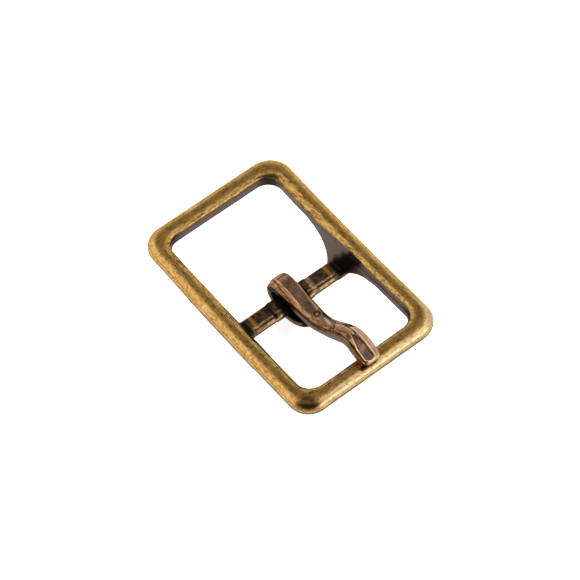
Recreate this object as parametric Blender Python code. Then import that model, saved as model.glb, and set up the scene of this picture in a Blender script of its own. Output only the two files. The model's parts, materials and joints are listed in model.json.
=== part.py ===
"""Centre-bar strap buckle: a cast brass frame and the loose tongue that swings on its bar.

Millimetres in the constants, metres in the scene, +Z up. X runs along the strap, towards the
tongue's tip; Y runs across the strap, along the bar. The origin is under the middle of the
frame, level with the lowest point of the tongue's eye.
"""
from math import cos, hypot, pi, sin, sqrt

import bmesh
import bpy
from mathutils import Vector

MM = 0.001

# The frame: a rounded rectangle of rail, for a 16 mm strap
STRAP_OPENING = 16.0           # between the side rails
RAIL_WIDTH = 2.5
RAIL_HEIGHT = 1.7
OUTER_LENGTH = 32.8
OUTER_WIDTH = STRAP_OPENING + 2 * RAIL_WIDTH
# Corners: front left, rear left, rear right, front right
OUTER_CORNERS = (3.0, 3.2, 3.0, 2.8)
INNER_CORNERS = (1.8, 2.1, 1.5, 2.1)
FRAME_Z = 5.84                 # underside of the end rails above the origin
SIDE_BOW = 0.43                # how far the side rails dip in the middle
BOW_POWER = 1.3
CROWN = 1.35                   # from the outer edge to the crest of the rail
CROWN_POWER = 2.6              # how full the crown's rounding is; 2 is an ellipse
INNER_SHOULDER = 0.45          # height of the rounded inner top edge
LOWER_EDGE = 0.25              # rounding of the inner lower edge

# The centre bar, dropped below the rails so that the strap lies flat over it
BAR_DROP = 3.0                 # bar's axis below the underside of the end rails
BAR_WIDTH = 2.25
BAR_HEIGHT = 1.6
BAR_EDGE = 0.4
BOSS_HALF = 2.8                # the middle, where the tongue swings, is a little thicker
BOSS_STEP = 0.18
BOSS_RISE = 0.07
BAR_HALF = 8.4

# The two lugs that carry the bar: their flanks follow a superellipse
LUG_REACH = 6.8                # half the lug's length where it leaves the rail
REAR_WAIST = 1.45              # how far it reaches beside the bar, behind it
FRONT_WAIST = 1.2              # and in front of it
LUG_DEPTH = 3.86               # its lowest point below the end rails
FLANK_DEPTH = 3.4
FLANK_POWER = 1.6
LUG_LEAN_IN = 1.35             # how far the inner face comes in at the bar
LEAN_POWER = 1.7
LUG_OUTER = 10.42              # the outer face at the top, and how it slopes in below
LUG_OUTER_SLOPE = 0.4
LUG_ROOT = 0.75                # how far the lug starts up inside the rail
LUG_INSET = 0.3                # how much the outer face is set in there
LUG_FOOT = 0.9                 # height of the rounded foot, and how far it tucks in
LUG_TUCK = 0.5
LUG_CORNER = 0.45

# The tongue: a bent bar, from its tip back over the bar, round it, and up to the tail.
# Each station is x, z above the end rails' underside, half thickness, half width.
TONGUE = (
    (15.97, 2.56, 0.32, 0.78), (15.72, 2.62, 0.44, 1.12), (15.3, 2.70, 0.54, 1.31),
    (14.5, 3.00, 0.60, 1.37), (13.6, 3.48, 0.62, 1.36), (12.7, 3.73, 0.69, 1.28),
    (11.65, 3.46, 0.75, 1.21), (10.18, 2.39, 0.77, 1.17), (8.28, 0.77, 0.77, 1.16),
    (6.65, -0.28, 0.76, 1.16), (5.2, -0.79, 0.74, 1.19), (3.4, -0.90, 0.70, 1.24),
    (1.6, -0.86, 0.68, 1.28), (-0.1, -0.81, 0.68, 1.32), (-1.8, -1.13, 0.68, 1.36),
    (-2.68, -2.3, 0.68, 1.36), (-2.58, -3.75, 0.68, 1.34), (-1.6, -4.84, 0.68, 1.28),
    (-0.1, -5.16, 0.68, 1.22), (1.5, -4.88, 0.66, 1.16), (2.9, -4.08, 0.60, 1.06),
    (3.85, -3.22, 0.50, 0.92), (4.37, -2.65, 0.36, 0.68), (4.52, -2.47, 0.25, 0.50),
)
TONGUE_CHAMFER = 0.34          # width of the bevel along both edges of the top
TIP_LEAN = 0.20                # how far the tip is bent to the left
LEAN_START = 10.0
PATH_STEPS = 3

# How finely the round stretches are cut
CORNER_STEPS = 8
SIDE_STEPS = 12
END_STEPS = 6
ROUND_STEPS = 4
LUG_SLICES = 11

BRASS = ((0.46, 0.31, 0.12, 1.0), 1.0, 0.38)
TONGUE_BRASS = ((0.40, 0.25, 0.15, 1.0), 1.0, 0.34)


def clear_scene():
    for thing in list(bpy.data.objects):
        bpy.data.objects.remove(thing, do_unlink=True)


def metal(name, look):
    colour, metallic, roughness = look
    material = bpy.data.materials.new(name)
    material.use_nodes = True
    shader = material.node_tree.nodes["Principled BSDF"]
    shader.inputs["Base Color"].default_value = colour
    shader.inputs["Metallic"].default_value = metallic
    shader.inputs["Roughness"].default_value = roughness
    return material


def mesh_object(name, bm, origin, material=None):
    """A closed mesh in millimetres becomes an object in metres, placed at its origin."""
    bmesh.ops.recalc_face_normals(bm, faces=bm.faces)
    for vertex in bm.verts:
        vertex.co = (vertex.co - Vector(origin)) * MM
    mesh = bpy.data.meshes.new(name)
    bm.to_mesh(mesh)
    bm.free()
    mesh.shade_smooth()
    mesh.set_sharp_from_angle(angle=pi / 5)
    thing = bpy.data.objects.new(name, mesh)
    thing.location = Vector(origin) * MM
    if material:
        mesh.materials.append(material)
    bpy.context.scene.collection.objects.link(thing)
    return thing


def loft(rings, closed):
    """Skin a row of equal rings of points; a closed row joins up, an open one gets caps."""
    bm = bmesh.new()
    rows = [[bm.verts.new(point) for point in ring] for ring in rings]
    pairs = list(zip(rows, rows[1:]))
    if closed:
        pairs.append((rows[-1], rows[0]))
    count = len(rings[0])
    for one, two in pairs:
        for i in range(count):
            j = (i + 1) % count
            bm.faces.new((one[i], one[j], two[j], two[i]))
    if not closed:
        bm.faces.new(rows[0])
        bm.faces.new(rows[-1])
    return bm


def superellipse_quarter(a, b, power, steps):
    """Points from (0, b) round to (a, 0) on a quarter of a superellipse."""
    points = []
    for i in range(steps + 1):
        turn = pi / 2 * i / steps
        points.append((a * sin(turn) ** (2 / power), b * max(cos(turn), 0.0) ** (2 / power)))
    return points


def rounded_box(half_a, half_b, radius, steps):
    """A rounded rectangle round (0, 0), anticlockwise."""
    points = []
    corners = ((1, 1), (-1, 1), (-1, -1), (1, -1))
    for quarter, (side_a, side_b) in enumerate(corners):
        for i in range(steps + 1):
            turn = pi / 2 * (quarter + i / steps)
            points.append((side_a * (half_a - radius) + radius * cos(turn),
                           side_b * (half_b - radius) + radius * sin(turn)))
    return points


# Frame -------------------------------------------------------------------------------------

def rail_section():
    """Points round the rail: distance in from the outer edge, height above the underside."""
    middle = RAIL_HEIGHT / 2
    points = []
    for across, up in superellipse_quarter(middle, middle, 2.0, ROUND_STEPS):
        points.append((middle - across, middle - up))
    outer_top = superellipse_quarter(CROWN, middle, CROWN_POWER, ROUND_STEPS)
    for across, up in reversed(outer_top[:-1]):
        points.append((CROWN - across, middle + up))
    inner_top = superellipse_quarter(RAIL_WIDTH - CROWN, INNER_SHOULDER, CROWN_POWER, ROUND_STEPS)
    for across, up in inner_top[1:]:
        points.append((CROWN + across, RAIL_HEIGHT - INNER_SHOULDER + up))
    points.append((RAIL_WIDTH, LOWER_EDGE))
    points.append((RAIL_WIDTH - 0.3 * LOWER_EDGE, 0.3 * LOWER_EDGE))
    points.append((RAIL_WIDTH - LOWER_EDGE, 0.0))
    return points


def reach_to_outline(x, y, along_x, along_y, radius):
    """Distance from a point in the first quarter to the outer outline with that corner radius."""
    half_x, half_y = OUTER_LENGTH / 2, OUTER_WIDTH / 2
    if along_x > 0:
        reach = (half_x - x) / along_x
        if y + reach * along_y <= half_y - radius:
            return reach
    if along_y > 0:
        reach = (half_y - y) / along_y
        if x + reach * along_x <= half_x - radius:
            return reach
    to_x, to_y = half_x - radius - x, half_y - radius - y
    ahead = to_x * along_x + to_y * along_y
    return ahead + sqrt(ahead ** 2 - to_x ** 2 - to_y ** 2 + radius ** 2)


def rail_stations():
    """Inner point and outer point of the rail, all the way round the frame."""
    stations = []
    for quarter, (side_x, side_y) in enumerate(((1, 1), (-1, 1), (-1, -1), (1, -1))):
        radius = INNER_CORNERS[quarter]
        centre_x = OUTER_LENGTH / 2 - RAIL_WIDTH - radius
        centre_y = OUTER_WIDTH / 2 - RAIL_WIDTH - radius
        for i in range(CORNER_STEPS + 1):
            turn = pi / 2 * (quarter + i / CORNER_STEPS)
            nx, ny = cos(turn), sin(turn)
            reach = reach_to_outline(centre_x, centre_y, abs(nx), abs(ny), OUTER_CORNERS[quarter])
            near = Vector((side_x * centre_x + radius * nx, side_y * centre_y + radius * ny))
            far = Vector((side_x * centre_x + reach * nx, side_y * centre_y + reach * ny))
            stations.append((near, far))
    filled = []
    for i, (near, far) in enumerate(stations):
        filled.append((near, far))
        if (i + 1) % (CORNER_STEPS + 1) == 0:
            next_near, next_far = stations[(i + 1) % len(stations)]
            steps = SIDE_STEPS if abs(next_near.y - near.y) < 1 else END_STEPS
            for k in range(1, steps):
                filled.append((near.lerp(next_near, k / steps), far.lerp(next_far, k / steps)))
    return filled


def bow(x):
    """How far the rails dip at x; the end rails stay level."""
    reach = OUTER_LENGTH / 2 - RAIL_WIDTH
    return SIDE_BOW * max(0.0, 1 - (x / reach) ** 2) ** BOW_POWER


def rail_ring():
    section = rail_section()
    rings = []
    for near, far in rail_stations():
        ring = []
        for distance, height in section:
            point = far.lerp(near, distance / RAIL_WIDTH)
            ring.append((point.x, point.y, FRAME_Z + height - bow(point.x)))
        rings.append(ring)
    return loft(rings, closed=True)


def lug(side):
    """One lug, as level slices from inside the rail down to its rounded foot."""
    rings = []
    for i in range(LUG_SLICES + 1):
        depth = -LUG_ROOT + (LUG_DEPTH + LUG_ROOT) * i / LUG_SLICES
        below = max(depth, 0.0)
        rooted = max(-depth, 0.0) / LUG_ROOT
        foot = max(0.0, depth - LUG_DEPTH + LUG_FOOT) / LUG_FOOT
        tuck = LUG_TUCK * (1 - sqrt(max(0.0, 1 - foot ** 2)))
        rise = abs(FLANK_DEPTH - below) / FLANK_DEPTH
        flare = 1 - (1 - rise ** FLANK_POWER) ** (1 / FLANK_POWER)
        front = FRONT_WAIST + (LUG_REACH - FRONT_WAIST) * flare - tuck
        rear = REAR_WAIST + (LUG_REACH - REAR_WAIST) * flare - tuck
        lean = LUG_LEAN_IN * ((depth + LUG_ROOT) / (BAR_DROP + LUG_ROOT)) ** LEAN_POWER
        inner = STRAP_OPENING / 2 - lean + tuck
        outer = LUG_OUTER - LUG_OUTER_SLOPE * below - LUG_INSET * rooted - 2 * tuck
        middle = (inner + outer) / 2
        shift = (front - rear) / 2
        outline = rounded_box((front + rear) / 2, (outer - inner) / 2, LUG_CORNER, ROUND_STEPS)
        rings.append([(x + shift, side * (middle + y), FRAME_Z - depth) for x, y in outline])
    return loft(rings, closed=False)


def centre_bar():
    """The bar, with a slightly thicker middle for the tongue's eye."""
    rings = []
    stations = ((-BAR_HALF, 0), (-BOSS_HALF - BOSS_STEP, 0), (-BOSS_HALF, BOSS_RISE),
                (BOSS_HALF, BOSS_RISE), (BOSS_HALF + BOSS_STEP, 0), (BAR_HALF, 0))
    for y, rise in stations:
        outline = rounded_box(BAR_WIDTH / 2 + rise, BAR_HEIGHT / 2 + rise, BAR_EDGE, ROUND_STEPS)
        rings.append([(across, y, FRAME_Z - BAR_DROP + up) for across, up in outline])
    return loft(rings, closed=False)


def build_frame(material):
    frame = mesh_object("frame", rail_ring(), (0, 0, FRAME_Z), material)
    forms = {"lug_left_form": lug(1), "lug_right_form": lug(-1), "bar_form": centre_bar()}
    for name, bm in forms.items():
        form = mesh_object(name, bm, (0, 0, FRAME_Z), material)
        form.hide_render = True
        form.display_type = "WIRE"
        join = frame.modifiers.new("join_" + name, "BOOLEAN")
        join.operation = "UNION"
        join.solver = "EXACT"
        join.object = form
    return frame


# Tongue ------------------------------------------------------------------------------------

def smooth_path(stations, steps):
    """Catmull-Rom curve through the stations, in all their values at once."""
    rows = [stations[0]] + list(stations) + [stations[-1]]
    path = []
    for before, here, after, later in zip(rows, rows[1:], rows[2:], rows[3:]):
        for k in range(steps):
            t = k / steps
            path.append([0.5 * (2 * b + (c - a) * t + (2 * a - 5 * b + 4 * c - d) * t ** 2
                                + (3 * b - a - 3 * c + d) * t ** 3)
                         for a, b, c, d in zip(before, here, after, later)])
    path.append(list(stations[-1]))
    return path


def tongue_section(half_thick, half_wide):
    """Across, up: a flat top with chamfered edges and a softly rounded back."""
    cut = min(TONGUE_CHAMFER, 0.55 * half_thick, 0.45 * half_wide)
    soft = 0.3 * cut
    right = ((half_wide - cut, half_thick), (half_wide - soft, half_thick - 0.6 * cut),
             (half_wide, half_thick - 1.3 * cut), (half_wide, -half_thick + cut),
             (half_wide - soft, -half_thick + soft), (half_wide - cut, -half_thick))
    left = [(-across, up) for across, up in reversed(right)]
    return list(right) + left


def tip_side(x):
    """How far the tongue's middle lies to the left at x, from the shank to the leaning tip."""
    t = min(max((x - LEAN_START) / (OUTER_LENGTH / 2 - LEAN_START), 0.0), 1.0)
    return TIP_LEAN * t * t * (3 - 2 * t)


def build_tongue(material):
    path = smooth_path(TONGUE, PATH_STEPS)
    rings = []
    for i, (x, z, half_thick, half_wide) in enumerate(path):
        before, after = path[max(i - 1, 0)], path[min(i + 1, len(path) - 1)]
        run, rise = before[0] - after[0], before[1] - after[1]
        length = hypot(run, rise)
        up_x, up_z = -rise / length, run / length
        side = tip_side(x)
        rings.append([(x + up_x * up, side + across, FRAME_Z + z + up_z * up)
                      for across, up in tongue_section(half_thick, half_wide)])
    return mesh_object("tongue", loft(rings, closed=False), (0, 0, FRAME_Z - BAR_DROP), material)


clear_scene()
build_frame(metal("antique_brass", BRASS))
build_tongue(metal("tongue_brass", TONGUE_BRASS))
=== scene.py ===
import json
from math import cos, pi, radians, sin

import bpy
import numpy as np
from mathutils import Matrix, Vector, noise


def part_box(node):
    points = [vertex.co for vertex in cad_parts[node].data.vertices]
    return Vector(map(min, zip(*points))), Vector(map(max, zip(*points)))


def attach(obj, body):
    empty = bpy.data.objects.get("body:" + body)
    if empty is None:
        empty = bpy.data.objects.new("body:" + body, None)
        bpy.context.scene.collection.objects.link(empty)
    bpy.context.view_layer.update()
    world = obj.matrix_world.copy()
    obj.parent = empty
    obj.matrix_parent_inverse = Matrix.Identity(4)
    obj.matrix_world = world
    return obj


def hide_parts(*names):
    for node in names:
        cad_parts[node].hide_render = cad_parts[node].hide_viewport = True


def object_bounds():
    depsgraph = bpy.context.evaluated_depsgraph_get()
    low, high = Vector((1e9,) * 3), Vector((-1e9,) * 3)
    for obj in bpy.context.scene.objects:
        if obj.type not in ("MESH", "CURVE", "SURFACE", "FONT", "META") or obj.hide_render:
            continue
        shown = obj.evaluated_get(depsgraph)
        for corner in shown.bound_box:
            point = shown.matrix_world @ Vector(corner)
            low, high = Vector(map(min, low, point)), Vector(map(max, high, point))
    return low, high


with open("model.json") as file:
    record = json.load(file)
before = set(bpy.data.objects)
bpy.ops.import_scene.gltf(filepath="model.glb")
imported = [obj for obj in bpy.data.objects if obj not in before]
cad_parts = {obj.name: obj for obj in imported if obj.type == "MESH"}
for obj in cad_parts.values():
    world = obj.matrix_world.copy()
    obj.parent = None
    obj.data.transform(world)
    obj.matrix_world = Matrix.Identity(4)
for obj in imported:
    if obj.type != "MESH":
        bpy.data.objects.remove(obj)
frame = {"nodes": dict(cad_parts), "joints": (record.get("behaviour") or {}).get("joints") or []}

MM = 0.001
cad_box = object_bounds()
frame_low, frame_high = (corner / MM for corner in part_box("frame"))
bar_z = frame["joints"][0]["pos_m"][2] / MM

# The frame's rail
HALF_LENGTH = (frame_high.x - frame_low.x) / 2
HALF_WIDTH = (frame_high.y - frame_low.y) / 2
RAIL_WIDTH = 2.5
RAIL_HEIGHT = 1.7
RAIL_Z = frame_high.z - RAIL_HEIGHT   # underside of the end rails
# Corners: front left, rear left, rear right, front right
OUTER_CORNERS = (3.0, 3.2, 3.0, 2.8)
INNER_CORNERS = (1.8, 2.1, 1.5, 2.1)
SIDE_BOW = 0.43                       # how far the side rails dip in the middle
BOW_POWER = 1.3
CROWN = 1.35                          # from the outer edge to the crest
CROWN_POWER = 2.6
SIDE_SHOULDER = (0.75, 2.0)           # height and fullness of the inner shoulder on the side rails
END_SHOULDER = (0.5, 2.4)             # and on the end rails
LOWER_EDGE = 0.25

# The centre bar and its lugs
BAR_HALF_WIDTH = 1.125
BAR_HALF_HEIGHT = 0.8
BAR_EDGE = 0.4
BOSS_HALF = 2.8
BOSS_STEP = 0.18
BOSS_RISE = 0.07
BAR_DROP = RAIL_Z - bar_z
LUG_REACH = 6.8
REAR_WAIST, FRONT_WAIST = 1.45, 1.2
LUG_DEPTH = 3.86
FLANK_DEPTH = 3.4
FLANK_POWER = 1.6
LUG_LEAN_IN = 1.35
LEAN_POWER = 1.7
LUG_OUTER = HALF_WIDTH - 0.08
LUG_OUTER_SLOPE = 0.4
LUG_ROOT = 0.75
LUG_INSET = 0.3
LUG_FOOT = 0.9
LUG_TUCK = 0.5
LUG_CORNER = 0.45
LUG_FILLET = 0.3                      # how softly lug runs into rail, and bar into lug
BAR_FILLET = 0.45
DARK_REFLECTION_AT = (14.90, -8.80)                # a painted dark reflection on the front right corner: x, y, and the weights that make it longer round the corner
REFLECTION_LENGTHEN, REFLECTION_NARROW = 0.55, 0.95    # weights that make it longer round the corner

# How finely the frame's surface is cut, and how uneven the casting is
VOXEL = 0.12
RELAX_ROUNDS = 3
WAVES = ((0.45, 0.020), (1.6, 0.006))  # per millimetre, height

# The tongue: x, z above the end rails' underside, half thickness, half width
TONGUE = (
    (15.97, 2.56, 0.32, 0.78), (15.72, 2.62, 0.44, 1.12), (15.3, 2.70, 0.54, 1.31),
    (14.5, 3.00, 0.60, 1.37), (13.6, 3.48, 0.62, 1.36), (12.7, 3.73, 0.69, 1.28),
    (11.65, 3.46, 0.75, 1.21), (10.18, 2.39, 0.77, 1.17), (8.28, 0.77, 0.77, 1.16),
    (6.65, -0.28, 0.76, 1.16), (5.2, -0.79, 0.74, 1.19), (3.4, -0.90, 0.70, 1.24),
    (1.6, -0.86, 0.68, 1.28), (-0.1, -0.81, 0.68, 1.32), (-1.8, -1.13, 0.68, 1.36),
    (-2.68, -2.3, 0.68, 1.36), (-2.58, -3.75, 0.68, 1.34), (-1.6, -4.84, 0.68, 1.28),
    (-0.1, -5.16, 0.68, 1.22), (1.5, -4.88, 0.66, 1.16), (2.9, -4.08, 0.60, 1.06),
    (3.85, -3.22, 0.50, 0.92), (4.37, -2.65, 0.36, 0.68), (4.52, -2.47, 0.25, 0.50),
)
TIP_LEAN = 0.20
LEAN_START = 10.0
PATH_STEPS = 20


# Shared mesh work --------------------------------------------------------------------------

def smooth_step(low, high, value):
    """0 below low, 1 above high, and an even curve between."""
    t = np.clip((value - low) / (high - low), 0.0, 1.0)
    return t * t * (3 - 2 * t)


def waves(points, layers, shift=0.0):
    """Uneven heights over the points: layers of noise, each with its frequency and its height."""
    total = np.zeros(len(points))
    for frequency, height in layers:
        total += height * np.array([noise.noise(Vector(p) * frequency + Vector((shift, 0, 0)))
                                    for p in points])
    return total


def finished_piece(name, points, faces, masks, material):
    """A mesh object in metres, kept inside the CAD box, with its masks as vertex attributes."""
    low, high = (np.array(corner) / MM for corner in cad_box)
    points = np.clip(points, low, high) * MM
    mesh = bpy.data.meshes.new(name)
    mesh.from_pydata(points.tolist(), [], faces)
    mesh.shade_smooth()
    for mask, values in masks.items():
        mesh.attributes.new(mask, "FLOAT", "POINT").data.foreach_set("value", values.astype(np.float32))
    mesh.materials.append(material)
    piece = bpy.data.objects.new(name, mesh)
    bpy.context.scene.collection.objects.link(piece)
    return piece


# The frame's surface, as a field that is negative inside the metal -----------------------------

def rounded_rectangle(across, up, half_across, half_up, radius):
    """Signed distance to a rounded rectangle."""
    a = np.abs(across) - half_across + radius
    b = np.abs(up) - half_up + radius
    return np.hypot(np.maximum(a, 0), np.maximum(b, 0)) + np.minimum(np.maximum(a, b), 0) - radius


def by_corner(x, y, corners):
    front_left, rear_left, rear_right, front_right = corners
    return np.where(x > 0, np.where(y > 0, front_left, front_right),
                    np.where(y > 0, rear_left, rear_right))


def across_rail(x, y):
    """How far in across the rail: 0 at its outer edge, RAIL_WIDTH at its inner edge."""
    outer = -rounded_rectangle(x, y, HALF_LENGTH, HALF_WIDTH, by_corner(x, y, OUTER_CORNERS))
    inner = rounded_rectangle(x, y, HALF_LENGTH - RAIL_WIDTH, HALF_WIDTH - RAIL_WIDTH,
                              by_corner(x, y, INNER_CORNERS))
    return RAIL_WIDTH * outer / np.maximum(outer + inner, 0.5)


def above_underside(x, z):
    """Height above the rail's underside, which dips in the middle of the side rails."""
    reach = HALF_LENGTH - RAIL_WIDTH
    return z - RAIL_Z + SIDE_BOW * np.maximum(0.0, 1 - (x / reach) ** 2) ** BOW_POWER


def superellipse_quarter(a, b, power, steps):
    turn = np.linspace(0, pi / 2, steps + 1)
    return np.stack([a * np.sin(turn) ** (2 / power),
                     b * np.maximum(np.cos(turn), 0) ** (2 / power)], axis=1)


def rail_outline(shoulder_height, shoulder_power):
    """A rail's section: distance in from the outer edge, height above the underside."""
    middle = RAIL_HEIGHT / 2
    low = middle - superellipse_quarter(middle, middle, 2.0, 12)
    crown = superellipse_quarter(CROWN, middle, CROWN_POWER, 20)[::-1] * (-1, 1) + (CROWN, middle)
    shoulder = superellipse_quarter(RAIL_WIDTH - CROWN, shoulder_height, shoulder_power, 14)
    shoulder = shoulder + (CROWN, RAIL_HEIGHT - shoulder_height)
    edge = np.stack([RAIL_WIDTH - LOWER_EDGE * (1 - np.cos(np.linspace(0, pi / 2, 6))),
                     LOWER_EDGE * (1 - np.sin(np.linspace(0, pi / 2, 6)))], axis=1)
    return np.concatenate([low[:-1], crown[1:-1], shoulder, edge])


def outline_distance(outline, across, up):
    """Signed distance to a section's outline."""
    point = np.stack([across, up], axis=1)
    nearest = np.full(len(point), 1e9)
    inside = np.zeros(len(point), bool)
    for start, end in zip(outline, np.roll(outline, -1, axis=0)):
        along = end - start
        t = np.clip((point - start) @ along / (along @ along), 0, 1)
        gap = point - start - t[:, None] * along
        nearest = np.minimum(nearest, np.einsum("ij,ij->i", gap, gap))
        if along[1] != 0:
            spans = (start[1] > up) != (end[1] > up)
            inside ^= spans & (across < start[0] + (up - start[1]) * along[0] / along[1])
    return np.where(inside, -1, 1) * np.sqrt(nearest)


# The part of a section's plane that is charted, and the chart's step
CHART_LOW, CHART_HIGH, CHART_STEP = (-1.0, -5.0), (4.0, 3.0), 0.02


def distance_chart(outline):
    """The distances to an outline, worked out once on an even grid."""
    axes = (np.arange(low, high, CHART_STEP) for low, high in zip(CHART_LOW, CHART_HIGH))
    across, up = np.meshgrid(*axes, indexing="ij")
    return outline_distance(outline, across.ravel(), up.ravel()).reshape(across.shape)


def read_chart(chart, across, up):
    """A distance between the four nearest points of the chart's grid."""
    row = np.clip((across - CHART_LOW[0]) / CHART_STEP, 0, chart.shape[0] - 1.001)
    column = np.clip((up - CHART_LOW[1]) / CHART_STEP, 0, chart.shape[1] - 1.001)
    i, j = row.astype(int), column.astype(int)
    u, v = row - i, column - j
    return ((chart[i, j] * (1 - u) + chart[i + 1, j] * u) * (1 - v)
            + (chart[i, j + 1] * (1 - u) + chart[i + 1, j + 1] * u) * v)


def soft_join(one, two, radius):
    """Union of two fields with a fillet of about that radius."""
    blend = np.maximum(radius - np.abs(one - two), 0) / radius
    return np.minimum(one, two) - blend ** 3 * radius / 6


def lug_field(x, y, z):
    """Both lugs: flanks on a superellipse, an inner face that leans in, and a rounded foot."""
    depth = RAIL_Z - z
    below = np.clip(depth, 0.0, LUG_DEPTH)
    rooted = np.clip(-depth / LUG_ROOT, 0.0, 1.0)
    foot = np.clip((depth - LUG_DEPTH + LUG_FOOT) / LUG_FOOT, 0.0, 1.0)
    tuck = LUG_TUCK * (1 - np.sqrt(np.maximum(0.0, 1 - foot ** 2)))
    rise = np.clip(np.abs(FLANK_DEPTH - below) / FLANK_DEPTH, 0.0, 1.0)
    flare = 1 - (1 - rise ** FLANK_POWER) ** (1 / FLANK_POWER)
    waist = np.where(x > 0, FRONT_WAIST, REAR_WAIST)
    half = waist + (LUG_REACH - waist) * flare - tuck
    lean = LUG_LEAN_IN * (np.clip(depth + LUG_ROOT, 0, None) / (BAR_DROP + LUG_ROOT)) ** LEAN_POWER
    inner = HALF_WIDTH - RAIL_WIDTH - lean + tuck
    outer = LUG_OUTER - LUG_OUTER_SLOPE * below - LUG_INSET * rooted - 2 * tuck
    sides = rounded_rectangle(x, np.abs(y) - (inner + outer) / 2, half, (outer - inner) / 2, LUG_CORNER)
    return np.maximum(np.maximum(sides, depth - LUG_DEPTH), -LUG_ROOT - depth)


def bar_field(x, y, z):
    """The centre bar, a little thicker in the middle."""
    rise = BOSS_RISE * (1 - smooth_step(BOSS_HALF, BOSS_HALF + BOSS_STEP, np.abs(y)))
    sides = rounded_rectangle(x, z - bar_z, BAR_HALF_WIDTH + rise, BAR_HALF_HEIGHT + rise, BAR_EDGE)
    return np.maximum(sides, np.abs(y) - HALF_WIDTH + RAIL_WIDTH)


SIDE_CHART = distance_chart(rail_outline(*SIDE_SHOULDER))
END_CHART = distance_chart(rail_outline(*END_SHOULDER))


def frame_field(points):
    """The whole casting: the rail, with the lugs and the bar joined on."""
    x, y, z = points.T
    across, up = across_rail(x, y), above_underside(x, z)
    at_end = smooth_step(12.0, 14.5, np.abs(x))
    rail = read_chart(SIDE_CHART, across, up) * (1 - at_end) + read_chart(END_CHART, across, up) * at_end
    hung = soft_join(lug_field(x, y, z), bar_field(x, y, z), BAR_FILLET)
    return soft_join(rail, hung, LUG_FILLET)


def slopes(points, field, step=0.01):
    """The field's value at each point, and its gradient."""
    value = field(points)
    gradient = np.stack([(field(points + np.eye(3)[axis] * step) - value) / step
                         for axis in range(3)], axis=1)
    return value, gradient


def settle(points, rounds):
    """Move points onto the frame's surface, along its slope."""
    for _ in range(rounds):
        value, gradient = slopes(points, frame_field)
        steep = np.maximum(np.einsum("ij,ij->i", gradient, gradient), 0.2)
        points = points - gradient * np.clip(value / steep, -0.2, 0.2)[:, None]
    return points


def even_quads(node, voxel):
    """A CAD node's shape as an even net of small quads, in millimetres."""
    mesh = node.data.copy()
    mesh.transform(Matrix.Scale(1 / MM, 4))
    form = bpy.data.objects.new("form", mesh)
    bpy.context.scene.collection.objects.link(form)
    remesh = form.modifiers.new("remesh", "REMESH")
    remesh.mode = "VOXEL"
    remesh.voxel_size = voxel
    shaped = form.evaluated_get(bpy.context.evaluated_depsgraph_get()).to_mesh()
    points = np.array([v.co for v in shaped.vertices], float)
    faces = [tuple(p.vertices) for p in shaped.polygons]
    edges = np.array([tuple(e.vertices) for e in shaped.edges])
    bpy.data.objects.remove(form)
    bpy.data.meshes.remove(mesh)
    return points, faces, edges


def relax(points, edges):
    """Each point moves halfway to the middle of its neighbours."""
    total, count = np.zeros_like(points), np.zeros(len(points))
    for one, two in (edges.T, edges.T[::-1]):
        np.add.at(total, one, points[two])
        np.add.at(count, one, 1)
    return (points + total / count[:, None]) / 2


def band(low, high, soft, value):
    """1 between low and high, 0 outside, with soft edges."""
    return smooth_step(low - soft, low + soft, value) * (1 - smooth_step(high - soft, high + soft, value))


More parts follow.
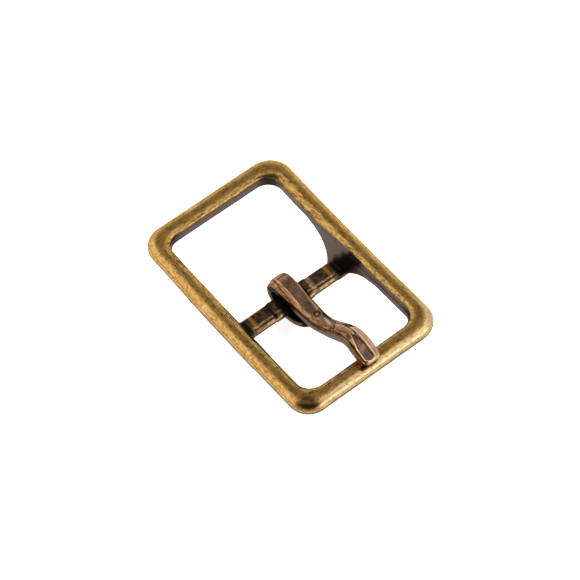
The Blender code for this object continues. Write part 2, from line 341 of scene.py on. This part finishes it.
def frame_masks(points):
    """Where each finish of the casting shows, from 0 to 1, with its painted shade, highlight and dark
    reflection.
    """
    x, y, z = points.T
    side, long, above = np.abs(y), np.abs(x), z - bar_z
    across, up = across_rail(x, y), above_underside(x, z)
    uneven = waves(points, ((0.8, 0.10), (2.5, 0.05)), shift=31.0)
    at_end = smooth_step(12.0, 14.5, long)
    # The rail's inner wall keeps its patina, up to where handling has rubbed the top bright
    behind = smooth_step(1.0, -5.0, x) * (1 - at_end)
    near_rail = smooth_step(-6.0, -8.5, y) * (1 - at_end)
    rubbed_to = 2.02 + 0.20 * behind + 0.28 * at_end + 0.12 * near_rail + uneven
    wall = smooth_step(rubbed_to, rubbed_to + 0.12 + 0.2 * behind, across)
    wall = np.maximum(wall, 1 - smooth_step(-0.1, 0.25, up))
    # Along the rail: its crest, its inner shoulder, the front rail's outer side (polished, and paler where a
    # highlight is painted), its outer foot
    crest = band(1.0, 1.7, 0.2, across)
    inner = band(1.6, 2.6, 0.15, across)
    outer = band(0.05, 0.8, 0.12, across) * smooth_step(11.0, 13.5, x) * smooth_step(-8.6, -6.6, y)
    rim = (1 - smooth_step(0.75, 1.40, up + uneven)) * (1 - smooth_step(0.6, 1.2, across))
    # The inner corners' painted shade, and one painted dark reflection on the front right corner
    corner = smooth_step(11.0, 13.3, long) * smooth_step(5.2, 7.4, side)
    along_reflection = REFLECTION_LENGTHEN * (x - DARK_REFLECTION_AT[0] + y - DARK_REFLECTION_AT[1])
    across_reflection = REFLECTION_NARROW * (x - DARK_REFLECTION_AT[0] - y + DARK_REFLECTION_AT[1])
    dark_reflection = 0.85 * (1 - smooth_step(0.5, 1.45, np.hypot(along_reflection, across_reflection) + uneven))
    # The bar: worn front face, top edge and step, a painted shadow by the near step, ginger bands by the
    # lugs, a painted dark line along its front edge, and painted shade inside the tongue's eye
    on_bar = (1 - smooth_step(6.1, 6.6, side)) * (1 - smooth_step(1.6, 2.0, long))
    front_face = smooth_step(1.0, 1.1, x) * band(-0.12, 0.5, 0.08, above)
    front_face = front_face * (1 - smooth_step(5.8, 6.1, side))
    top_edge = band(0.62, 0.86, 0.08, x + uneven) * smooth_step(0.6, 0.75, above) * 0.6
    step = band(2.75, 3.4, 0.15, y + 2 * uneven) * smooth_step(0.3, 0.6, above) * 0.8
    near_step_shadow = band(-3.25, -2.8, 0.12, y + uneven) * smooth_step(-0.2, 0.4, above)
    ginger = band(5.5, 5.95, 0.15, side + uneven) * smooth_step(0.6, 0.75, above)
    edge_line = band(0.93, 1.04, 0.05, x) * band(0.35, 0.9, 0.1, above) * on_bar * 0.9
    in_eye = (1 - smooth_step(1.9, 2.35, side)) * (1 - smooth_step(1.6, 2.0, long))
    # A slanting blot of painted shade on each lug, above the bar
    root = 0.1 + 0.62 * above
    spread = x + 4 * uneven
    lug_shade = smooth_step(root - 1.9, root - 1.2, spread) * (1 - smooth_step(root + 0.4, root + 2.2, spread))
    lug_shade = lug_shade * band(6.3, 9.4, 0.25, side) * wall
    return {
        "at_end": at_end, "wall": wall * (1 - on_bar), "crest": crest, "inner": inner,
        "outer": outer, "rim": rim, "dark_reflection": dark_reflection * smooth_step(0.9, 1.3, up),
        "bar": on_bar, "ginger": ginger,
        "rubbed": np.max([front_face, top_edge, step], axis=0) * on_bar,
        "painted_shade": np.max([lug_shade, near_step_shadow * on_bar, edge_line, in_eye, 0.9 * corner * wall], axis=0),
    }


def make_frame(material):
    points, faces, edges = even_quads(frame["nodes"]["frame"], VOXEL)
    points = settle(points, 3)
    for _ in range(RELAX_ROUNDS):
        points = settle(relax(points, edges), 1)
    points = settle(points, 2)
    _, gradient = slopes(points, frame_field)
    normals = gradient / np.linalg.norm(gradient, axis=1)[:, None]
    masks = frame_masks(points)
    points = points + normals * waves(points, WAVES)[:, None]
    return finished_piece("cast_frame", points, faces, masks, material)


# The tongue --------------------------------------------------------------------------------

def smooth_path(stations, steps):
    """Catmull-Rom curve through the stations, in all their values at once."""
    rows = np.array([stations[0], *stations, stations[-1]])
    path = []
    for a, b, c, d in zip(rows, rows[1:], rows[2:], rows[3:]):
        for t in np.arange(steps) / steps:
            path.append(0.5 * (2 * b + (c - a) * t + (2 * a - 5 * b + 4 * c - d) * t ** 2
                               + (3 * b - a - 3 * c + d) * t ** 3))
    return np.array([*path, stations[-1]])


# The tongue's section along its top: x, then where the top face's near and far edges are, how far the
# bevels beyond them drop, and how round the whole section is.
FACES = (
    (-2.7, -0.34, 0.95, 0.32, 0.20, 0.35), (-2.0, -0.36, 1.10, 0.27, 0.14, 0.12),
    (0.2, -0.44, 1.20, 0.24, 0.10, 0.00), (2.3, -0.56, 0.95, 0.24, 0.14, 0.00),
    (4.2, -0.60, 0.70, 0.24, 0.20, 0.00), (5.2, -0.50, 0.60, 0.26, 0.24, 0.08),
    (6.4, -0.45, 0.50, 0.30, 0.30, 0.35), (7.6, -0.42, 0.42, 0.34, 0.34, 0.50),
    (9.2, -0.42, 0.35, 0.30, 0.32, 0.25), (10.3, -0.68, 0.42, 0.20, 0.28, 0.10),
    (11.6, -0.80, 0.38, 0.16, 0.28, 0.05), (12.6, -0.98, 0.42, 0.13, 0.30, 0.00),
    (15.2, -1.06, 0.48, 0.12, 0.26, 0.00), (15.7, -0.80, 0.42, 0.12, 0.18, 0.10),
    (16.2, -0.50, 0.36, 0.10, 0.15, 0.30),
)
SIDE_CUT, FOOT_CUT = 0.12, 0.10       # small roundings at the top and the foot of the side faces
# Marks worked into the top face. Outlines are x, then the near and the far edge.
LEAF = ((9.35, -0.12, 0.10), (9.9, -0.42, 0.30), (10.8, -0.56, 0.36), (11.6, -0.50, 0.32),
        (12.2, -0.30, 0.26), (12.6, -0.02, 0.14))
TROUGH = ((12.2, -0.10, 0.00), (12.9, -0.42, 0.20), (13.8, -0.72, 0.34), (15.2, -0.78, 0.34),
          (15.5, -0.66, 0.26), (15.68, -0.40, 0.05))
LEAF_RISE, TROUGH_DEPTH = 0.05, 0.13
CREASE_X, CREASE_SLANT = 9.32, 0.9    # where the pressed tip meets the ramp, and its slant
CREASE_DEPTH = 0.06
PIT = (5.40, 0.20, 0.46, 0.07)        # x, across, half size and depth of the punched mark
# A line of painted shade along the near side's bevel: x, across
SEAM = ((-2.2, -0.50), (-1.6, -0.71), (-0.6, -0.87), (0.5, -0.98), (2.0, -1.14), (4.2, -1.03),
        (7.4, -0.90), (10.0, -0.92), (13.3, -1.09), (15.4, -1.02))


def tongue_section(thick, wide, face):
    """Points round the section from under its near side over the top: across, up, and how far round."""
    near, far, near_drop, far_drop, roundness = face
    near, far = max(near, 0.3 - wide), min(far, wide - 0.2)
    corners = (
        (-wide + FOOT_CUT, -thick, 2), (-wide, -thick + FOOT_CUT, 8),
        (-wide, thick - near_drop - 0.22, 4), (-wide + SIDE_CUT, thick - near_drop, 10),
        (near, thick, 24), (far, thick, 9), (wide - SIDE_CUT, thick - far_drop, 3),
        (wide, thick - far_drop - 0.15, 7), (wide, -thick + FOOT_CUT, 2), (wide - FOOT_CUT, -thick, 12),
    )
    ring, part = [], []
    for number, ((across, up, count), end) in enumerate(zip(corners, corners[1:] + corners[:1])):
        for i in range(count):
            t = i / count
            ring.append((across + (end[0] - across) * t, up + (end[1] - up) * t))
            part.append(number + t)
    ring, part = np.array(ring), np.array(part)
    for _ in range(2):
        ring = (np.roll(ring, 1, axis=0) + 2 * ring + np.roll(ring, -1, axis=0)) / 4
    turn = np.arctan2(ring[:, 1] / thick, ring[:, 0] / wide)
    oval = np.stack([wide * np.cos(turn), thick * np.sin(turn)], axis=1)
    return ring + (oval - ring) * roundness, part


def along_table(table, x):
    """A table's other columns at x, straight between its rows."""
    columns = np.array(table).T
    return [np.interp(x, columns[0], column) for column in columns[1:]]


def within(outline, x, across, soft):
    """1 inside an outline worked into the top face, 0 outside, with soft edges."""
    near, far = along_table(outline, x)
    ends = band(outline[0][0], outline[-1][0], soft, x)
    return ends * smooth_step(-soft, soft, np.minimum(across - near, far - across))


def pit_groove(x, across):
    """1 in the groove round the punched mark, which runs out towards the bar; 0 away from it."""
    at_x, at_across, half, _ = PIT
    out = np.hypot((x - at_x) * np.where(x < at_x, 0.55, 1.0), across - at_across)
    return band(0.36 * half, half, 0.16, out)


def crease(x, across, half):
    return band(-half, half, 0.06, x - CREASE_X + CREASE_SLANT * across)


def worked(x, part, across):
    """How far the marks lift or sink the top of the tongue."""
    top = band(3.1, 6.0, 0.15, part) * (x > -2.5)
    lift = LEAF_RISE * within(LEAF, x, across, 0.07) - TROUGH_DEPTH * within(TROUGH, x, across, 0.08)
    return top * (lift - PIT[3] * pit_groove(x, across) - CREASE_DEPTH * crease(x, across, 0.03))


def make_tongue(material):
    path = smooth_path(TONGUE, PATH_STEPS)
    ahead, behind = np.roll(path, 1, axis=0), np.roll(path, -1, axis=0)
    ahead[0], behind[-1] = path[0], path[-1]
    run = (ahead - behind)[:, :2]
    run = run / np.linalg.norm(run, axis=1)[:, None]
    bend = int(np.argmin(path[:, 0]))
    points, stations = [], []
    for i, ((x, z, thick, wide), (run_x, run_z)) in enumerate(zip(path, run)):
        station = x if i < bend else min(FACES[0][0], -x - 8.0)
        ring, part = tongue_section(thick, wide, along_table(FACES, station))
        up = ring[:, 1] + worked(station, part, ring[:, 0])
        side = TIP_LEAN * float(smooth_step(LEAN_START, HALF_LENGTH, x))
        points.append(np.stack([x - run_z * up, side + ring[:, 0], RAIL_Z + z + run_x * up], axis=1))
        stations.append(np.stack([np.full(len(part), station), part, ring[:, 0]], axis=1))
    around, count = len(part), len(path)
    rows = np.arange(around * count).reshape(count, around)
    turned = np.roll(rows, -1, axis=1)
    quads = np.stack([rows[:-1], turned[:-1], turned[1:], rows[1:]], axis=-1).reshape(-1, 4)
    faces = [tuple(q) for q in quads.tolist()] + [tuple(rows[0][::-1].tolist()), tuple(rows[-1].tolist())]
    points, stations = np.concatenate(points), np.concatenate(stations)
    masks = tongue_masks(points, *stations.T)
    points = points + np.stack([0 * points[:, 0], 0 * points[:, 0], waves(points, WAVES, 7.0)], axis=1)
    return finished_piece("bent_tongue", points, faces, masks, material)


def tongue_masks(points, x, part, across):
    """Where each finish of the tongue shows, with its painted shade and highlights. Part counts round the
    section: 1 to 2 is the near side,
    3 to 4 its bevel, 4 to 5 the top or outer face, 9 to 10 the face towards the bar. Below the bend, x is
    less than -2.7."""
    along, height = points[:, 0], points[:, 2]
    uneven = waves(points, ((0.9, 0.10), (2.5, 0.05)), shift=17.0)
    # On the top: the shank's brown facet, the trough and the leaf pressed into the tip, the ramp, and a
    # painted highlight along it
    on_top = band(3.0, 6.0, 0.2, part) * (x > -2.6)
    shank = band(4.04, 4.96, 0.05, part) * band(-2.3, 4.95, 0.12, x + 0.3 * across + uneven)
    trough = within(TROUGH, x, across, 0.05) * on_top
    leaf = within(LEAF, x, across, 0.06) * on_top
    ramp_at = 0.28 - 0.24 * (x - 7.0)
    painted_highlight = 0.7 * band(6.7, 8.8, 0.35, x) * band(-0.10, 0.10, 0.14, across - ramp_at) * on_top
    on_ramp = band(6.1, 9.2, 0.5, x + 0.4 * across) * smooth_step(-0.45, 0.0, across + uneven) * on_top
    # Painted shade in dark lines: along both bevels, at the crease, in the punched mark and round the leaf
    leaf_line = on_top * (within([(a, b - 0.12, c + 0.12) for a, b, c in LEAF], x, across, 0.06) - leaf)
    seam_at = along_table(SEAM, x)[0]
    seam = band(-0.07, 0.07, 0.04, across - seam_at) * band(1.9, 4.1, 0.1, part) * (x > -2.3)
    far_seam = 0.4 * band(5.38, 5.50, 0.06, part) * band(12.4, 15.6, 0.4, x)
    fold = crease(x, across, 0.05) * on_top
    pit = pit_groove(x, across) * on_top
    dark = np.max([seam, far_seam, fold, 0.9 * pit, 0.7 * np.maximum(leaf_line, 0)], axis=0)
    # Bright lines, partly wear and partly painted highlight: the facet's edges, the trough's rim, the leaf's
    # ridge, the far edge and end of the tip
    far_line = band(4.93, 5.12, 0.05, part) * band(-0.5, 4.75, 0.2, x)
    near_line = 0.6 * band(3.86, 4.04, 0.06, part) * band(-2.2, 2.5, 0.5, x)
    rim = within([(a, b - 0.20, c) for a, b, c in TROUGH], x, across, 0.07) * on_top - trough
    rim = 0.8 * rim * (1 - smooth_step(0.0, 0.2, across) * (x < 15.3))
    ridge = leaf * band(-0.02, 0.2, 0.12, across) * 0.6
    tip_line = band(5.05, 5.3, 0.05, part) * band(11.4, 15.6, 0.3, x)
    tip_end = 0.6 * smooth_step(15.55, 15.8, x) * band(3.0, 6.5, 0.3, part)
    bright = np.clip(np.max([far_line, near_line, rim, ridge, tip_line, tip_end], axis=0), 0, 1)
    # Below the bend: the eye's steel-grey outside behind the bar, and its tan top
    below = smooth_step(-2.5, -2.7, x)
    rear = np.maximum(smooth_step(-0.3, -1.3, along), below)
    steel = below * smooth_step(5.0, 4.2, height) * smooth_step(2.2, 2.8, part) * (part < 8) * rear
    tan = steel * band(1.3, 2.7, 0.3, along)
    # Painted shade: the side towards the bar, the inner half of the near side, and the tail
    towards_bar = np.maximum(band(8.9, 10.5, 0.1, part), band(-1.0, 0.7, 0.2, part))
    towards_bar = towards_bar * (1 - smooth_step(4.6, 5.4, along)) * (height > 0.3)
    shade_to = 1.25 - 0.05 * rear + 0.9 * (x > -2.7)
    shaded = (1 - smooth_step(shade_to - 0.25, shade_to + 0.25, part)) * (1 - smooth_step(2.4, 4.6, x + part))
    tail = below * smooth_step(3.1, 3.7, along)
    return {
        "facet": shank, "trough": trough, "leaf": np.maximum(leaf, tan), "painted_highlight": painted_highlight,
        "bright": bright, "dark": dark, "grey": np.maximum(0.8 * on_ramp, steel),
        "pink": band(5.02, 6.6, 0.1, part) * smooth_step(11.0, 12.2, x),
        "side": band(0.9, 2.5, 0.1, part),
        "inside": np.clip(np.max([towards_bar, shaded, tail, 0.3 * pit], axis=0), 0, 1),
    }


# Materials ---------------------------------------------------------------------------------

def add(tree, kind, inputs, **settings):
    """A shader node with its inputs joined or set."""
    node = tree.nodes.new("ShaderNode" + kind)
    for name, value in settings.items():
        setattr(node, name, value)
    for name, value in inputs.items():
        if isinstance(value, bpy.types.NodeSocket):
            tree.links.new(value, node.inputs[name])
        else:
            node.inputs[name].default_value = value
    return node


def mask(tree, name):
    return add(tree, "Attribute", {}, attribute_name=name).outputs["Fac"]


def grain(tree, place, scale, detail=3.0, rough=0.55):
    """Noise with that many waves per millimetre."""
    node = add(tree, "TexNoise", {"Vector": place, "Scale": scale, "Detail": detail, "Roughness": rough})
    return node.outputs["Fac"]


def ramp(tree, value, low, high, to_low=0.0, to_high=1.0):
    node = add(tree, "MapRange", {"Value": value, "From Min": low, "From Max": high,
                                  "To Min": to_low, "To Max": to_high})
    node.interpolation_type = "SMOOTHSTEP"
    return node.outputs["Result"]


def maths(tree, operation, one, two):
    return add(tree, "Math", {0: one, 1: two}, operation=operation).outputs[0]


def mixed(tree, factor, one, two):
    """Colour one where factor is 0, colour two where it is 1."""
    node = add(tree, "Mix", {0: factor, 6: one, 7: two}, data_type="RGBA")
    return node.outputs[2]


def new_metal(name, edge_tint):
    """A metal whose reflections near its outline take a tint, and places on it in millimetres."""
    material = bpy.data.materials.new(name)
    material.use_nodes = True
    tree = material.node_tree
    shader = tree.nodes["Principled BSDF"]
    shader.inputs["Metallic"].default_value = 1.0
    shader.inputs["Specular Tint"].default_value = edge_tint
    spot = add(tree, "TexCoord", {}).outputs["Object"]
    place = add(tree, "VectorMath", {0: spot, 3: 1 / MM}, operation="SCALE").outputs[0]
    return material, tree, shader, place


FRAME_BUMP, TONGUE_BUMP = 0.005, 0.004    # millimetres


def finish_metal(tree, shader, colour, roughness, height, depth):
    """Join a metal's colour, roughness and bump; depth is the bump's height in millimetres."""
    bump = add(tree, "Bump", {"Height": height, "Strength": 1.0, "Distance": depth * MM})
    tree.links.new(colour, shader.inputs["Base Color"])
    tree.links.new(roughness, shader.inputs["Roughness"])
    tree.links.new(bump.outputs["Normal"], shader.inputs["Normal"])


GREEN_GOLD = (0.54, 0.345, 0.090, 1)
RED_GOLD = (0.62, 0.335, 0.110, 1)
PALE_GOLD = (0.74, 0.51, 0.24, 1)
BROWN_GOLD = (0.29, 0.145, 0.035, 1)
DARK_GOLD = (0.17, 0.075, 0.022, 1)
OLIVE_GOLD = (0.36, 0.205, 0.045, 1)
POLISH_AND_HIGHLIGHT = (0.62, 0.46, 0.255, 1)
RIM_BROWN = (0.105, 0.070, 0.045, 1)
PATINA = (0.125, 0.093, 0.077, 1)
SHADE_BLACK = (0.010, 0.008, 0.007, 1)
REFLECTION_BROWN = (0.045, 0.022, 0.007, 1)
BAR_BROWN = (0.130, 0.070, 0.036, 1)
BAR_DARK = (0.045, 0.028, 0.018, 1)
GINGER = (0.45, 0.20, 0.04, 1)
ROSE_GOLD = (0.62, 0.41, 0.20, 1)
ROSE_BROWN = (0.22, 0.14, 0.075, 1)


def streaks(tree, place, along, across):
    """Noise stretched along X, with that many waves per millimetre each way."""
    scaled = add(tree, "VectorMath", {0: place, 1: (along, across, across)}, operation="MULTIPLY")
    return grain(tree, scaled.outputs[0], 1.0, 4.0, 0.6)


def rail_streaks(tree, place, along, across):
    """Streaks that run along every rail: along X on the side rails, along Y on the end rails."""
    turned = add(tree, "VectorRotate", {"Vector": place, "Angle": pi / 2}, rotation_type="Z_AXIS")
    one = streaks(tree, place, along, across)
    two = streaks(tree, turned.outputs[0], along, across)
    return add(tree, "Mix", {0: mask(tree, "at_end"), 2: one, 3: two}).outputs[0]


def frame_metal():
    material, tree, shader, place = new_metal("antique_brass", (0.70, 0.64, 0.58, 1))
    rubbing = rail_streaks(tree, place, 2.0, 4.6)
    pores = grain(tree, place, 5.5, 2.0)
    cloud = grain(tree, place, 0.45)
    warmth = mixed(tree, ramp(tree, grain(tree, place, 2.4), 0.40, 0.60), GREEN_GOLD, RED_GOLD)
    gold = mixed(tree, ramp(tree, rubbing, 0.32, 0.56), BROWN_GOLD, warmth)
    gold = mixed(tree, ramp(tree, cloud, 0.50, 0.85), gold, PALE_GOLD)
    # The front rail's outer side is polished, and paler where a highlight is painted
    polish_and_highlight = maths(tree, "MULTIPLY", mask(tree, "outer"), ramp(tree, rubbing, 0.36, 0.50, 0.4, 0.9))
    gold = mixed(tree, polish_and_highlight, gold, POLISH_AND_HIGHLIGHT)
    top = maths(tree, "MAXIMUM", mask(tree, "crest"), mask(tree, "inner"))
    # The crest and inner shoulder are darker and mottled where the streaks are low
    darker_top = maths(tree, "MULTIPLY", top, ramp(tree, rubbing, 0.42, 0.60, 0.95, 0.20))
    blotch = rail_streaks(tree, place, 0.7, 1.5)
    darker_top_colour = mixed(tree, ramp(tree, blotch, 0.40, 0.58), DARK_GOLD, OLIVE_GOLD)
    gold = mixed(tree, darker_top, gold, darker_top_colour)
    gold = mixed(tree, ramp(tree, pores, 0.54, 0.68, 0.0, 0.6), gold, BROWN_GOLD)
    gold = mixed(tree, mask(tree, "rim"), gold, RIM_BROWN)
    # A painted dark reflection darkens the front right corner
    gold = mixed(tree, mask(tree, "dark_reflection"), gold, REFLECTION_BROWN)
    colour = mixed(tree, mask(tree, "wall"), gold, PATINA)
    bar = mixed(tree, ramp(tree, grain(tree, place, 1.6), 0.42, 0.60), BAR_DARK, BAR_BROWN)
    bar = mixed(tree, ramp(tree, pores, 0.58, 0.74, 0.0, 0.2), bar, GINGER)
    bar = mixed(tree, mask(tree, "ginger"), bar, GINGER)
    rose = mixed(tree, ramp(tree, grain(tree, place, 2.2), 0.40, 0.60), ROSE_BROWN, ROSE_GOLD)
    bar = mixed(tree, mask(tree, "rubbed"), bar, rose)
    colour = mixed(tree, mask(tree, "bar"), colour, bar)
    # Painted shade: in the tongue's eye, on the lugs, in the inner corners, by the near step and along the
    # bar's front edge
    colour = mixed(tree, mask(tree, "painted_shade"), colour, SHADE_BLACK)
    dull = maths(tree, "MAXIMUM", mask(tree, "wall"), mask(tree, "painted_shade"))
    roughness = add(tree, "Mix", {0: dull, 2: ramp(tree, rubbing, 0.3, 0.7, 0.30, 0.17), 3: 0.42}).outputs[0]
    height = maths(tree, "ADD", rubbing, maths(tree, "MULTIPLY", pores, 0.35))
    finish_metal(tree, shader, colour, roughness, height, FRAME_BUMP)
    return material


COPPER = (0.36, 0.190, 0.090, 1)
RED_COPPER = (0.15, 0.070, 0.028, 1)
FACET_BROWN = (0.32, 0.170, 0.092, 1)
FACET_DARK = (0.15, 0.098, 0.075, 1)
ORANGE = (0.50, 0.22, 0.05, 1)
BRIGHT_EDGE = (0.68, 0.43, 0.20, 1)
LEAF_GOLD = (0.27, 0.160, 0.105, 1)
STEEL = (0.16, 0.128, 0.112, 1)
SIDE_BROWN = (0.140, 0.095, 0.072, 1)
PINK = (0.50, 0.32, 0.235, 1)
TROUGH_BROWN = (0.160, 0.082, 0.048, 1)
TROUGH_DARK = (0.060, 0.044, 0.042, 1)
PAINTED_HIGHLIGHT = (0.62, 0.48, 0.40, 1)
DARK_LINE = (0.050, 0.024, 0.010, 1)


def tongue_metal():
    material, tree, shader, place = new_metal("tongue_brass", (0.60, 0.55, 0.52, 1))
    rubbing = streaks(tree, place, 1.0, 3.0)
    cloud = grain(tree, place, 1.6)
    copper = mixed(tree, ramp(tree, rubbing, 0.35, 0.62), RED_COPPER, COPPER)
    brown = mixed(tree, ramp(tree, cloud, 0.38, 0.62), FACET_DARK, FACET_BROWN)
    brown = mixed(tree, ramp(tree, rubbing, 0.56, 0.74, 0.0, 0.6), brown, ORANGE)
    colour = mixed(tree, mask(tree, "facet"), copper, brown)
    colour = mixed(tree, mask(tree, "side"), colour, SIDE_BROWN)
    pink = mixed(tree, ramp(tree, streaks(tree, place, 0.6, 3.6), 0.36, 0.56), COPPER, PINK)
    colour = mixed(tree, mask(tree, "pink"), colour, pink)
    colour = mixed(tree, mask(tree, "grey"), colour, STEEL)
    colour = mixed(tree, mask(tree, "leaf"), colour, LEAF_GOLD)
    sunk = mixed(tree, ramp(tree, cloud, 0.38, 0.62), TROUGH_DARK, TROUGH_BROWN)
    colour = mixed(tree, mask(tree, "trough"), colour, sunk)
    # A painted highlight along the ramp
    colour = mixed(tree, mask(tree, "painted_highlight"), colour, PAINTED_HIGHLIGHT)
    # The bright lines are partly wear and partly painted highlight
    wear_and_highlight = maths(tree, "MULTIPLY", mask(tree, "bright"), ramp(tree, rubbing, 0.30, 0.55, 0.35, 1.0))
    colour = mixed(tree, wear_and_highlight, colour, BRIGHT_EDGE)
    # Painted shade in the dark lines along the bevels, at the crease, in the punched mark and round the leaf
    colour = mixed(tree, mask(tree, "dark"), colour, DARK_LINE)
    # Painted shade inside the eye, on the side towards the bar and on the tail
    colour = mixed(tree, mask(tree, "inside"), colour, SHADE_BLACK)
    roughness = add(tree, "Mix", {0: mask(tree, "inside"), 2: ramp(tree, rubbing, 0.3, 0.7, 0.28, 0.17),
                                  3: 0.45}).outputs[0]
    finish_metal(tree, shader, colour, roughness, rubbing, TONGUE_BUMP)
    return material


# Studio ------------------------------------------------------------------------------------

VIEW_TURN, VIEW_HEIGHT, VIEW_ROLL = 56.681, 56.646, -5.685    # degrees
VIEW_DISTANCE = 311.12
VIEW_AIM = Vector((0.30, -0.128, RAIL_Z - 0.211))
LENS = 160.72


def make_camera():
    data = bpy.data.cameras.new("camera")
    data.lens = LENS
    data.sensor_width = 36
    data.clip_start = 0.01
    camera = bpy.data.objects.new("camera", data)
    camera.matrix_world = (Matrix.Translation(VIEW_AIM * MM)
                           @ Matrix.Rotation(radians(VIEW_TURN), 4, "Z")
                           @ Matrix.Rotation(radians(90 - VIEW_HEIGHT), 4, "X")
                           @ Matrix.Rotation(radians(VIEW_ROLL), 4, "Z")
                           @ Matrix.Translation((0, 0, VIEW_DISTANCE * MM)))
    bpy.context.scene.collection.objects.link(camera)
    bpy.context.scene.camera = camera


def make_floor():
    mesh = bpy.data.meshes.new("floor")
    reach = 0.6    # metres
    mesh.from_pydata([(-reach, -reach, 0), (reach, -reach, 0), (reach, reach, 0), (-reach, reach, 0)],
                     [], [(0, 1, 2, 3)])
    paper = bpy.data.materials.new("floor_paper")
    paper.use_nodes = True
    shader = paper.node_tree.nodes["Principled BSDF"]
    shader.inputs["Base Color"].default_value = (0.9, 0.9, 0.9, 1)
    shader.inputs["Roughness"].default_value = 1.0
    shader.inputs["Specular IOR Level"].default_value = 0.0
    shader.inputs["Emission Color"].default_value = (1, 1, 1, 1)
    shader.inputs["Emission Strength"].default_value = 0.72
    mesh.materials.append(paper)
    floor = bpy.data.objects.new("floor", mesh)
    floor.location.z = -0.1 * MM
    bpy.context.scene.collection.objects.link(floor)


# The studio's light: a pale tent, brighter overhead and on two sides, dimmer low down on the camera's
# side and across from it, with a small dark opening above the camera.
TENT = 1.0
# Compass direction from +X and height in degrees, spread and softness in degrees, brightness
STUDIO = (
    (90, 85, 25, 10, 1.45),
    (-45, 20, 25, 30, 0.55),
    (30, 50, 10, 24, 2.3),
    (-150, 50, 15, 25, 1.45),
    (146, 50, 10, 12, 0.36),
    (-42, 73, 22, 11, 0.05),
)


def towards(turn, height):
    """The direction that a compass direction and a height in degrees point in."""
    return Vector((cos(radians(height)) * cos(radians(turn)),
                   cos(radians(height)) * sin(radians(turn)), sin(radians(height))))


def make_studio():
    world = bpy.data.worlds.new("studio")
    world.use_nodes = True
    tree = world.node_tree
    direction = add(tree, "TexCoord", {}).outputs["Generated"]
    light = TENT
    for turn, height, spread, softness, brightness in STUDIO:
        facing = add(tree, "VectorMath", {0: direction, 1: towards(turn, height)},
                     operation="DOT_PRODUCT").outputs["Value"]
        amount = ramp(tree, facing, cos(radians(spread + softness)), cos(radians(spread)))
        light = add(tree, "Mix", {0: amount, 2: light, 3: brightness}).outputs[0]
    tree.links.new(light, tree.nodes["Background"].inputs["Strength"])
    tree.nodes["Background"].inputs["Color"].default_value = (1, 1, 1, 1)
    bpy.context.scene.world = world


make_camera()
make_floor()
make_studio()
bpy.context.scene.view_settings.view_transform = "Standard"

cast_frame = make_frame(frame_metal())
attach(cast_frame, "frame")
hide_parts("frame")

bent_tongue = make_tongue(tongue_metal())
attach(bent_tongue, "tongue")
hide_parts("tongue")
